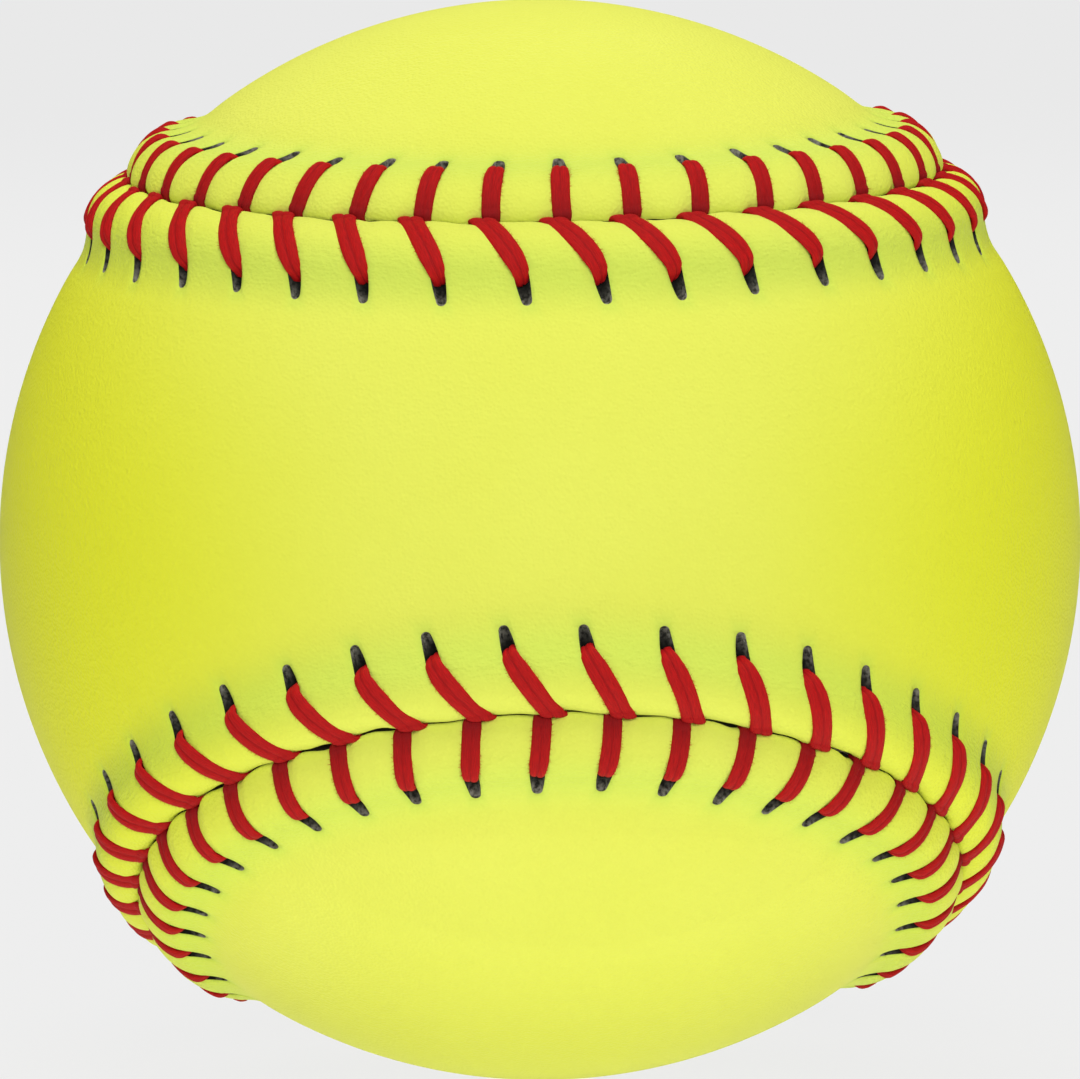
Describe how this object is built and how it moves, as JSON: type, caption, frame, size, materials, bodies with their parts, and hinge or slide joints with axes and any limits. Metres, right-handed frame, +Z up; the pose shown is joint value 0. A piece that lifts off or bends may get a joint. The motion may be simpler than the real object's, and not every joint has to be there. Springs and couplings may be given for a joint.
{
  "type": "softball",
  "caption": "Optic yellow softball with a raised red-stitched seam: a moulded core under two figure-of-eight cover panels.",
  "frame": {"origin": "centre of the ball", "axes": "+Z up, -Y towards the viewer of the front panel's waist, which is tilted up from -Y by the seam tilt; the front panel's lobes lie to +X and -X, the back panel's above and below"},
  "size_m": [0.0964, 0.0986, 0.0964],
  "materials": {
    "core": "moulded polyurethane foam, matt",
    "cement": "thin brushed rubber cement",
    "cover_face": "grained synthetic leather, satin",
    "cover_backing": "dark felted backing",
    "thread": "waxed twisted thread"
  },
  "bodies": {
    "root": {"core": "core", "cement_film": "cement", "front_panel": "cover_face", "front_panel_backing": "cover_backing", "back_panel": "cover_face", "back_panel_backing": "cover_backing", "thread_one": "thread", "thread_two": "thread"}
  },
  "joints": []
}
